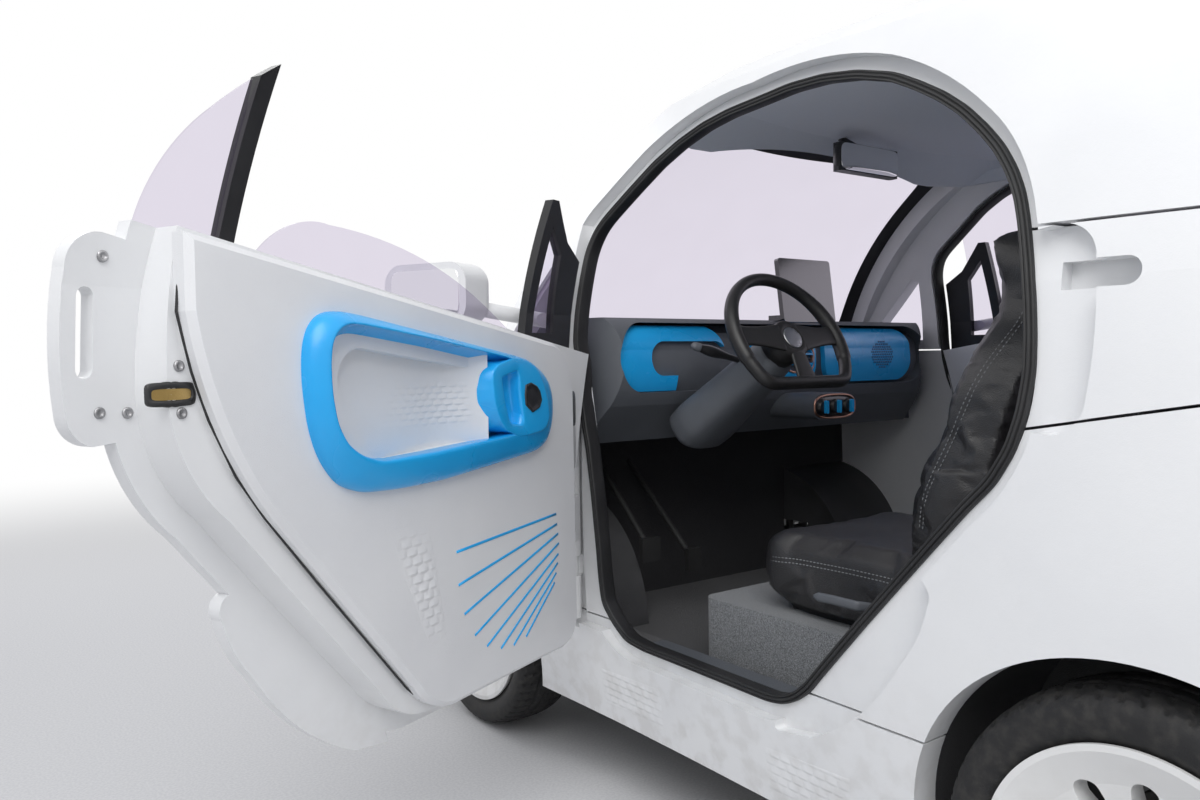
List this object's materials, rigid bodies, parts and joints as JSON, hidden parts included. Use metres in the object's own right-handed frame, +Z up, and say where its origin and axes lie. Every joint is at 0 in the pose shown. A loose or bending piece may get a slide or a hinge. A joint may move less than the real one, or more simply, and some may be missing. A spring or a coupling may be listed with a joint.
{
  "type": "two-seat electric microcar",
  "caption": "Small upright city car with a round cab, a left door standing open, white panels, a furnished cabin, steering, hinged lids and rolling wheels.",
  "frame": {"origin": "on the ground, under the middle of the box that holds the whole car with its left door open", "axes": "+X to the car's left, +Y to its rear, +Z up"},
  "size_m": [2.7659, 2.5299, 1.6043],
  "materials": {
    "body_white": "white satin paint",
    "trim_white": "white moulded plastic, fine grain",
    "trim_blue": "bright azure plastic, satin",
    "trim_dark": "dark grey grained plastic",
    "trim_black": "black satin plastic",
    "glass": "clear glass, faint tint",
    "lamp_clear": "clear lamp cover",
    "lamp_red": "red lamp cover",
    "seal_rubber": "black rubber seal",
    "lining_fabric": "blue-grey felt lining",
    "floor_dark": "dark carpet",
    "carpet_grey": "grey speckled carpet",
    "liner_grey": "dark grey wheel-arch liner",
    "frame_steel": "black painted steel",
    "battery_case": "bare aluminium case",
    "motor_case": "cast aluminium",
    "axle_steel": "dark cast steel",
    "screen_black": "black glass screen",
    "wheel_black": "black leather rim, black plastic hub",
    "pedal_black": "black rubber pad",
    "seat_leather": "black leather, grey double stitching",
    "tyre": "black tyre rubber",
    "rim_white": "white painted rim"
  },
  "bodies": {
    "body": {"body_shell": "body_white", "rear_quarters": "body_white", "rear_body": "body_white", "front_body": "body_white", "side_sills": "body_white", "fixed_glass": "glass", "headlamps": "lamp_clear", "tail_lamps": "lamp_red", "door_seals": "seal_rubber", "headliner": "lining_fabric", "floor_pan": "floor_dark", "sill_plates": "trim_dark", "wheel_liners": "liner_grey", "chassis_frame": "frame_steel", "battery_pack": "battery_case", "drive_motor": "motor_case", "rear_axle": "axle_steel", "front_suspension": "axle_steel", "dashboard": "trim_dark", "dash_inserts": "trim_blue", "centre_screen": "screen_black", "steering_column": "trim_dark", "pedals": "pedal_black", "seat_boxes": "carpet_grey", "seat_cushions": "seat_leather", "seat_backs": "seat_leather", "cabin_mirror": "trim_black", "wiper": "trim_black"},
    "left_door": {"door_left": "body_white", "door_left_trim": "trim_white", "door_left_armrest": "trim_blue", "door_left_frames": "trim_black", "door_left_glass": "glass", "door_left_mirror": "body_white"},
    "right_door": {"door_right": "body_white", "door_right_trim": "trim_white", "door_right_armrest": "trim_blue", "door_right_frames": "trim_black", "door_right_glass": "glass", "door_right_mirror": "body_white"},
    "bonnet_lid": {"bonnet": "body_white"},
    "tailgate_lid": {"tailgate": "body_white", "tailgate_glass": "glass"},
    "steering": {"steering_wheel": "wheel_black"},
    "knuckle_left": {"front_knuckle_left": "axle_steel"},
    "knuckle_right": {"front_knuckle_right": "axle_steel"},
    "wheel_front_left": {"tyre_front_left": "tyre", "rim_front_left": "rim_white"},
    "wheel_rear_left": {"tyre_rear_left": "tyre", "rim_rear_left": "rim_white"},
    "wheel_front_right": {"tyre_front_right": "tyre", "rim_front_right": "rim_white"},
    "wheel_rear_right": {"tyre_rear_right": "tyre", "rim_rear_right": "rim_white"}
  },
  "joints": [
    {"name": "left_door_hinge", "type": "hinge", "parent": "body", "child": "left_door", "pos_m": [0.317, -0.38, 0.5], "axis": [0, 0, 1], "range_deg": [0, 65.3]},
    {"name": "right_door_hinge", "type": "hinge", "parent": "body", "child": "right_door", "pos_m": [-1.113, -0.38, 0.5], "axis": [0, 0, 1], "range_deg": [0, 65.3]},
    {"name": "bonnet_hinge", "type": "hinge", "parent": "body", "child": "bonnet_lid", "pos_m": [-0.398, -0.9025, 0.921], "axis": [-1, 0, 0], "range_deg": [0, 45]},
    {"name": "tailgate_hinge", "type": "hinge", "parent": "body", "child": "tailgate_lid", "pos_m": [-0.398, 1.033, 1.4275], "axis": [1, 0, 0], "range_deg": [0, 75]},
    {"name": "steering_turn", "type": "hinge", "parent": "body", "child": "steering", "pos_m": [-0.068, -0.08, 1], "axis": [0, 0.866, 0.5], "range_deg": [-450, 450]},
    {"name": "knuckle_left_turn", "type": "hinge", "parent": "body", "child": "knuckle_left", "pos_m": [0.162, -0.84, 0.273], "axis": [0, 0, 1], "range_deg": [-30, 30]},
    {"name": "wheel_front_left_spin", "type": "hinge", "parent": "knuckle_left", "child": "wheel_front_left", "pos_m": [0.247, -0.84, 0.273], "axis": [1, 0, 0], "continuous": true},
    {"name": "wheel_rear_left_spin", "type": "hinge", "parent": "body", "child": "wheel_rear_left", "pos_m": [0.247, 0.84, 0.273], "axis": [1, 0, 0], "continuous": true},
    {"name": "knuckle_right_turn", "type": "hinge", "parent": "body", "child": "knuckle_right", "pos_m": [-0.958, -0.84, 0.273], "axis": [0, 0, 1], "range_deg": [-30, 30]},
    {"name": "wheel_front_right_spin", "type": "hinge", "parent": "knuckle_right", "child": "wheel_front_right", "pos_m": [-1.043, -0.84, 0.273], "axis": [1, 0, 0], "continuous": true},
    {"name": "wheel_rear_right_spin", "type": "hinge", "parent": "body", "child": "wheel_rear_right", "pos_m": [-1.043, 0.84, 0.273], "axis": [1, 0, 0], "continuous": true}
  ],
  "couplings": [
    {"joint": "knuckle_left_turn", "follows": "steering_turn", "ratio": 0.066667},
    {"joint": "knuckle_right_turn", "follows": "steering_turn", "ratio": 0.066667}
  ]
}
